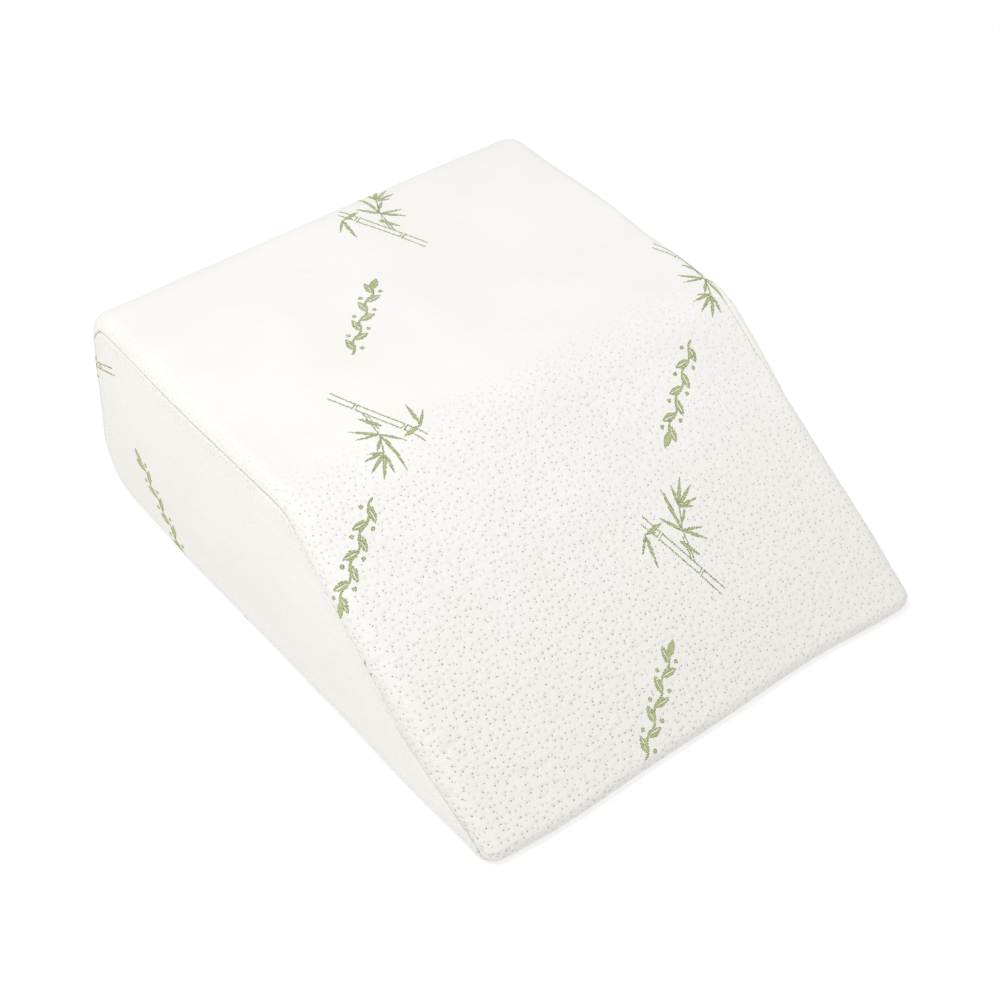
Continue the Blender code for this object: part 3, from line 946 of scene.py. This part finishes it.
def row_depth(x, y):
    """How deep each place lies inside the leaf row, which is drawn along x about its middle."""
    half = ROW_LENGTH / 2
    inside = ROW_STEM / 2 - np.abs(y - row_stem(x)) - np.maximum(0, np.abs(x + ROW_SHIFT) - half)
    rib_start, rib_end = (share * ROW_LEAF_LENGTH for share in ROW_RIB_ENDS)
    for k, start in enumerate(np.arange(-half - ROW_SHIFT, half - ROW_SHIFT, ROW_LEAF_PITCH)):
        side = 1 if k % 2 else -1
        root = start + ROW_LEAF_PITCH / 2
        leaf = row_leaf(root, row_stem(root), side * ROW_LEAF_ANGLE)
        along, off = leaf_place(x, y, leaf)
        depth = leaf_depth(x, y, leaf)
        rib = (along > rib_start) & (along < rib_end)
        inside = np.maximum(inside, np.where(rib, np.minimum(depth, off - ROW_RIB / 2), depth))
        berry = np.hypot(x - root - ROW_BERRY_ALONG, y - row_stem(root) + side * ROW_BERRY_ASIDE)
        inside = np.maximum(inside, ROW_BERRY - berry)
    return np.maximum(inside, leaf_depth(x, y, row_leaf(half - ROW_TIP_BACK, 0.0, 0)))


def motifs_on(panel, u_range, v_range):
    """The motifs that touch a panel: kind, u and v in millimetres, and the way each points in radians."""
    found = []
    first = FIRST_ROW[panel]
    for i in REPEATS:
        for j in REPEATS:
            shift_u = first[0] + i * REPEAT[0][0] + j * REPEAT[1][0]
            shift_v = first[1] + i * REPEAT[0][1] + j * REPEAT[1][1]
            for row in MOTIFS:
                motif = dict(zip(MOTIF_COLUMNS, row))
                u, v = shift_u + motif["u"], shift_v + motif["v"]
                for pull in (dict(zip(PULL_COLUMNS, values)) for values in PULLS):
                    if pull["panel"] == panel and math.hypot(u - pull["u"], v - pull["v"]) < PULL_SLACK:
                        u, v = u + pull["across"], v + pull["along"]
                near_u = u_range[0] - MOTIF_REACH < u < u_range[1] + MOTIF_REACH
                near_v = v_range[0] - MOTIF_REACH < v < v_range[1] + MOTIF_REACH
                if near_u and near_v:
                    found.append((motif["kind"], u, v, math.radians(motif["points"])))
    return found


def motif_depth(kind, u, v, centre, points):
    """How deep places in cloth coordinates, in millimetres, lie inside one motif."""
    along = (u - centre[0]) * math.cos(points) + (v - centre[1]) * math.sin(points)
    aside = (u - centre[0]) * math.sin(points) - (v - centre[1]) * math.cos(points)
    return sprig_depth(along, aside) if kind == "sprig" else row_depth(along, aside)


def bareness(panel, u, v):
    """1 on and near a motif, where the knit has no pinholes, and 0 away from it."""
    u, v = u / MM, v / MM
    bare = np.zeros(u.shape)
    for kind, centre_u, centre_v, points in motifs_on(panel, (u.min(), u.max()), (v.min(), v.max())):
        near = np.hypot(u - centre_u, v - centre_v) < MOTIF_REACH
        depth = motif_depth(kind, u[near], v[near], (centre_u, centre_v), points)
        share = np.clip((depth - BARE_EDGE[0]) / (BARE_EDGE[1] - BARE_EDGE[0]), 0, 1)
        bare[near] = np.maximum(bare[near], share)
    return bare


def stitches_of(kind, centre, points):
    """The places and shades of the stitches that fill a motif, on the lattice of the knit."""
    columns = np.arange(*(round((centre[0] + side * MOTIF_REACH) / STITCH_PITCH[0]) for side in (-1, 1)))
    courses = np.arange(*(round((centre[1] + side * MOTIF_REACH) / STITCH_PITCH[1]) for side in (-1, 1)))
    column, course = (axis.ravel() for axis in np.meshgrid(columns, courses))
    u, v = column * STITCH_PITCH[0], course * STITCH_PITCH[1]
    depth = motif_depth(kind, u, v, centre, points)
    kept = depth > 0
    u, v, depth, column, course = (values[kept] for values in (u, v, depth, column, course))
    stripe = (column - STRIPE_SHIFT * course) % STRIPE_STITCHES < STRIPE_STITCHES // 2
    edge = np.clip(EDGE_FULL - depth / EDGE_FADE, 0, 1)
    return u, v, STITCH_SHADE - STRIPE_DARKER * stripe - EDGE_DARKER * edge


def motif_piece(name, panel, kinds, locate, ranges, seed):
    """The stitches of a panel's motifs, as one mesh of small closed grains half sunk in the cloth."""
    rng = np.random.default_rng(seed)
    found = [stitches_of(m[0], m[1:3], m[3]) for m in motifs_on(panel, *ranges) if m[0] in kinds]
    u, v, shade = (np.concatenate(part) for part in zip(*found))
    u = u + rng.normal(0, STITCH_JITTER, u.shape)
    v = v + rng.normal(0, STITCH_JITTER, v.shape)
    shade = shade + rng.uniform(-SHADE_JITTER, SHADE_JITTER, shade.shape)
    sizes = rng.uniform(*STITCH_SIZES, u.shape)
    place, across, along, normal, there = locate(u * MM, v * MM)
    place, across, along, normal = (values[there] for values in (place, across, along, normal))
    shade, sizes = shade[there], sizes[there][:, None, None] * MM
    lean = STITCH_LEAN
    length = (across * math.cos(lean) + along * math.sin(lean))[:, None] * STITCH_LENGTH
    width = (along * math.cos(lean) - across * math.sin(lean))[:, None] * STITCH_WIDTH
    height = normal[:, None] * STITCH_HEIGHT

    shape = np.array([(x, y, 0.0) for x, y in STITCH_OUTLINE] + [(0, 0, 1.0), (0, 0, -1.0)])
    x, y, z = (shape[:, k][None, :, None] for k in range(3))
    points = place[:, None] + sizes * (length * x + width * y + height * z)
    corners = len(STITCH_OUTLINE)
    ring = np.arange(corners)
    upper = np.column_stack([ring, np.roll(ring, -1), np.full(corners, corners)])
    lower = np.column_stack([np.roll(ring, -1), ring, np.full(corners, corners + 1)])
    faces = np.concatenate([upper, lower])[None] + (np.arange(len(place)) * len(shape))[:, None, None]
    piece = new_mesh(name, points.reshape(-1, 3), faces.reshape(-1, 3))
    add_attribute(piece, "shade", np.repeat(np.clip(shade, 0, 1), len(shape)))
    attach(piece, "root")
    return piece


class Nodes:
    """Adds shader nodes to a material, and links a value to a socket or sets it there."""

    def __init__(self, name):
        self.material = bpy.data.materials.new(name)
        self.material.use_nodes = True
        self.tree = self.material.node_tree
        self.shader = self.tree.nodes["Principled BSDF"]

    def add(self, kind, inputs=(), **settings):
        node = self.tree.nodes.new(kind)
        for name, value in settings.items():
            setattr(node, name, value)
        for name, value in dict(inputs).items():
            self.feed(node.inputs[name], value)
        return node

    def feed(self, socket, value):
        if isinstance(value, bpy.types.NodeSocket):
            self.tree.links.new(value, socket)
        else:
            socket.default_value = value

    def attribute(self, name):
        return self.add("ShaderNodeAttribute", attribute_name=name).outputs["Fac"]

    def shade(self, sockets):
        """Links or sets the shader's own sockets."""
        for name, value in sockets.items():
            self.feed(self.shader.inputs[name], value)

    def math(self, operation, first, second=0.0):
        node = self.add("ShaderNodeMath", operation=operation)
        self.feed(node.inputs[0], first)
        self.feed(node.inputs[1], second)
        return node.outputs[0]

    def between(self, value, low, high, to_low=0.0, to_high=1.0):
        """A smooth step from one value to another."""
        inputs = {"Value": value, "From Min": low, "From Max": high, "To Min": to_low, "To Max": to_high}
        return self.add("ShaderNodeMapRange", inputs, interpolation_type="SMOOTHSTEP").outputs["Result"]

    def mix(self, share, first, second):
        node = self.add("ShaderNodeMix", data_type="RGBA")
        self.feed(node.inputs[0], share)
        self.feed(node.inputs[6], first)
        self.feed(node.inputs[7], second)
        return node.outputs[2]

    def scaled(self, vector, scale):
        node = self.add("ShaderNodeVectorMath", operation="MULTIPLY")
        self.feed(node.inputs[0], vector)
        self.feed(node.inputs[1], scale)
        return node.outputs[0]

    def noise(self, vector, scale, detail=2.0):
        inputs = {"Vector": vector, "Scale": scale, "Detail": detail}
        return self.add("ShaderNodeTexNoise", inputs, noise_dimensions="2D").outputs["Fac"]


def knit_material(name, colour, shade, hole_weight):
    """Off-white double knit: pinholes and seams in painted shade, the cloth puffed between holes, ridges and
    loops.
    """
    n = Nodes(name)
    cloth = n.add("ShaderNodeUVMap", uv_map="cloth").outputs["UV"]
    base = n.mix(n.between(n.noise(cloth, DRIFT_SCALE), *DRIFT_EDGES), shade, colour)
    # painted shade: darker and warmer towards the foot of the slope, and on the side panels towards the
    # floor
    base = n.mix(n.attribute("low"), base, LOW_SHADE_COLOUR)

    cells = n.add(
        "ShaderNodeTexVoronoi",
        {"Vector": cloth, "Scale": 1 / HOLE_PITCH, "Randomness": HOLE_RANDOMNESS},
        voronoi_dimensions="2D",
        feature="F1",
    )
    distance = cells.outputs["Distance"]
    chance = n.add("ShaderNodeSeparateColor", {"Color": cells.outputs["Color"]}).outputs["Red"]
    size = n.math("ADD", n.math("MULTIPLY", chance, HOLE_SPREAD), HOLE_LEAST)
    sized = n.math("DIVIDE", distance, size)
    hole_shade = n.between(sized, *(HOLE_RADIUS / HOLE_PITCH * edge for edge in HOLE_EDGES))
    dimple = n.between(sized, HOLE_DIMPLE / HOLE_PITCH, 0.0)
    hollow = n.between(distance, HOLE_SWELL / HOLE_PITCH, 0.0)
    # the pinholes' painted shade and dimples are weighted by where the cloth lies in shade
    hole_weight = n.math("MULTIPLY", n.attribute("hole_strength"), hole_weight)
    strength = n.math("MULTIPLY", hole_weight, n.math("SUBTRACT", 1.0, n.attribute("bare")))
    hole_shade_share = n.math("MULTIPLY", strength, n.between(chance, 0.0, 1.0, HOLE_FAINTEST, 1.0))
    # painted shade: each pinhole's dark dot stands for the shade inside the hole
    base = n.mix(n.math("MULTIPLY", hole_shade, hole_shade_share), base, HOLE_SHADE_COLOUR)

    # painted shade along the seam's groove, darkest in a dash at each stitch
    beside = n.between(n.attribute("from_seam"), *(SEAM_LINE * edge for edge in SEAM_LINE_EDGES))
    run = n.add("ShaderNodeSeparateXYZ", {"Vector": cloth}).outputs["Y"]
    stitch = n.math("PINGPONG", run, SEAM_STITCH / 2)
    dash = n.between(stitch, *(SEAM_STITCH * edge for edge in SEAM_DASH_EDGES), SEAM_BETWEEN, 1.0)
    base = n.mix(n.math("MULTIPLY", beside, dash), base, SEAM_SHADE_COLOUR)

    long_ridges = n.noise(n.scaled(cloth, RIDGE_SCALE), 1.0, 3.0)
    short_ridges = n.noise(n.scaled(cloth, SHORT_RIDGE_SCALE), 1.0, 2.0)
    long_ridges = n.math("MULTIPLY", long_ridges, LONG_RIDGE_SHARE)
    short_ridges = n.math("MULTIPLY", short_ridges, SHORT_RIDGE_SHARE)
    ridges = n.math("ADD", long_ridges, short_ridges)
    loops = n.noise(cloth, 1 / LOOP_PITCH, 1.0)
    crinkle = n.math("ADD", FLAT_RIDGES, n.math("MULTIPLY", 1 - FLAT_RIDGES, hole_weight))
    height = n.math("MULTIPLY", n.math("MULTIPLY", ridges, crinkle), RIDGE_DEPTH_MM)
    height = n.math("ADD", height, n.math("MULTIPLY", loops, LOOP_DEPTH_MM))
    for dip, depth in ((hollow, HOLE_SWELL_MM), (dimple, HOLE_DEPTH_MM)):
        height = n.math("SUBTRACT", height, n.math("MULTIPLY", n.math("MULTIPLY", dip, strength), depth))
    bump = n.add("ShaderNodeBump", {"Strength": 1.0, "Distance": MM, "Height": height})
    n.shade({"Base Color": base, "Normal": bump.outputs["Normal"], **KNIT_SURFACE})
    return n.material


def yarn_material():
    """Green yarn, darker at a motif's edge and in stripes, with a fine twist."""
    n = Nodes("green_yarn")
    place = n.add("ShaderNodeTexCoord").outputs["Object"]
    fleck = n.math("SUBTRACT", n.noise(place, FLECK_SCALE), 0.5)
    shade = n.math("ADD", n.attribute("shade"), n.math("MULTIPLY", fleck, FLECK_SHARE))
    colour = n.mix(shade, YARN_DARK, YARN_LIGHT)
    twist = {"Strength": TWIST_STRENGTH, "Distance": TWIST_DEPTH, "Height": n.noise(place, TWIST_SCALE)}
    bump = n.add("ShaderNodeBump", twist)
    n.shade({"Base Color": colour, "Normal": bump.outputs["Normal"], **YARN_SURFACE})
    return n.material


def floor_material():
    n = Nodes("floor_paper")
    place = n.add("ShaderNodeTexCoord").outputs["Object"]
    grain = n.noise(place, FLOOR_GRAIN_SCALE)
    n.shade({"Base Color": n.mix(grain, FLOOR_DARK, FLOOR_LIGHT), **FLOOR_SURFACE})
    return n.material


def add_floor():
    corners = np.array([(-1, -1), (1, -1), (1, 1), (-1, 1)]) * FLOOR_REACH
    points = np.column_stack([corners, np.full(4, -FLOOR_BELOW)])
    floor = new_mesh("floor", points, np.array([[0, 1, 2, 3]]))
    floor.data.materials.append(floor_material())


def add_light():
    world = bpy.data.worlds.new("studio")
    world.use_nodes = True
    background = world.node_tree.nodes["Background"]
    background.inputs["Color"].default_value = WORLD_COLOUR
    background.inputs["Strength"].default_value = WORLD_STRENGTH
    bpy.context.scene.world = world
    light = bpy.data.lights.new("softbox", "AREA")
    light.shape = "DISK"
    light.size = LAMP_SIZE
    light.energy = LAMP_POWER
    lamp = bpy.data.objects.new("softbox", light)
    lamp.location = LAMP_PLACE
    lamp.rotation_euler = (LAMP_PLACE - LAMP_TARGET).to_track_quat("Z", "Y").to_euler()
    bpy.context.scene.collection.objects.link(lamp)
    bpy.context.scene.view_settings.view_transform = "Standard"


def add_camera():
    azimuth, elevation = CAMERA_AZIMUTH, CAMERA_ELEVATION
    level = math.cos(elevation)
    back = Vector((math.sin(azimuth) * level, -math.cos(azimuth) * level, math.sin(elevation)))
    across = Vector((0, 0, 1)).cross(back).normalized()
    upward = back.cross(across)
    turn = Matrix.Rotation(CAMERA_ROLL, 3, back)
    camera = bpy.data.objects.new("camera", bpy.data.cameras.new("camera"))
    axes = Matrix((turn @ across, turn @ upward, back)).transposed()
    camera.matrix_world = Matrix.Translation(CAMERA_TARGET + back * CAMERA_DISTANCE) @ axes.to_4x4()
    camera.data.lens = CAMERA_LENS
    camera.data.sensor_width = CAMERA_SENSOR
    bpy.context.scene.collection.objects.link(camera)
    bpy.context.scene.camera = camera


def pinhole_weights(u, v, beside):
    """Weights of the wrap's pinholes, in painted shade and dimples: most low on the slope, least on the lit
    level top.
    """
    level = np.clip(v / TOP_HOLES_FADE_OVER, 0, 1)
    below = np.clip(-v / HOLES_BELOW_REACH, 0, 1)
    to_right = np.clip(u / HOLES_RIGHT_REACH, 0, 1)
    on_slope = HOLES_AT_BREAK + HOLES_GAIN_BELOW * below - HOLES_LOSS_RIGHT * to_right
    return on_slope * (1 - level * (TOP_HOLES_FADE - TOP_SEAM_HOLES * np.exp(-beside / TOP_SEAM_REACH)))


def main():
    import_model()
    add_camera()
    add_light()
    add_floor()
    wrap, grid = cover_wrap()
    wrap.data.materials.append(knit_material("wrap_knit", KNIT_COLOUR, KNIT_SHADE, 1.0))
    v = np.broadcast_to(grid.v[None, :-1], grid.u.shape)
    beside = np.minimum(grid.from_left, grid.from_right)
    fields = {
        # pinhole weights: painted shade in the holes that follows the light, and their dimples
        "hole_strength": pinhole_weights(grid.u, v, beside),
        "from_seam": beside,
        "bare": bareness("cover_wrap", grid.u, v),
        # painted shade, darker and warmer towards the foot of the slope
        "low": np.clip((-v - LOW_SHADE_START) / LOW_SHADE_REACH, 0, 1),
    }
    for name, field in fields.items():
        with_ends = np.concatenate([field[:1], field[:1], field, field[-1:], field[-1:]])
        add_attribute(wrap, name, with_ends.ravel())
    yarn = yarn_material()
    ranges = (range_mm(grid.u), range_mm(v))
    for kind, seed in zip(MOTIF_KINDS, (SPRIG_SEED, ROW_SEED)):
        piece = motif_piece("motif_wrap_" + kind + "s", "cover_wrap", (kind,), grid.locate, ranges, seed)
        piece.data.materials.append(yarn)
    # the wrap's knit in lighter, warmer colours, as painted light on the side panels
    side_knit = knit_material("side_knit", SIDE_PAINTED_LIGHT_COLOUR, SIDE_PAINTED_LIGHT_DRIFT, SIDE_HOLE_WEIGHT)
    for end, side in (("left", -1), ("right", 1)):
        panel = "cover_side_" + end
        piece, locate, ranges = cover_side(panel, side)
        piece.data.materials.append(side_knit)
        seed = SIDE_MOTIF_SEED + side
        piece = motif_piece("motif_side_" + end, panel, MOTIF_KINDS, locate, ranges, seed)
        piece.data.materials.append(yarn)


main()
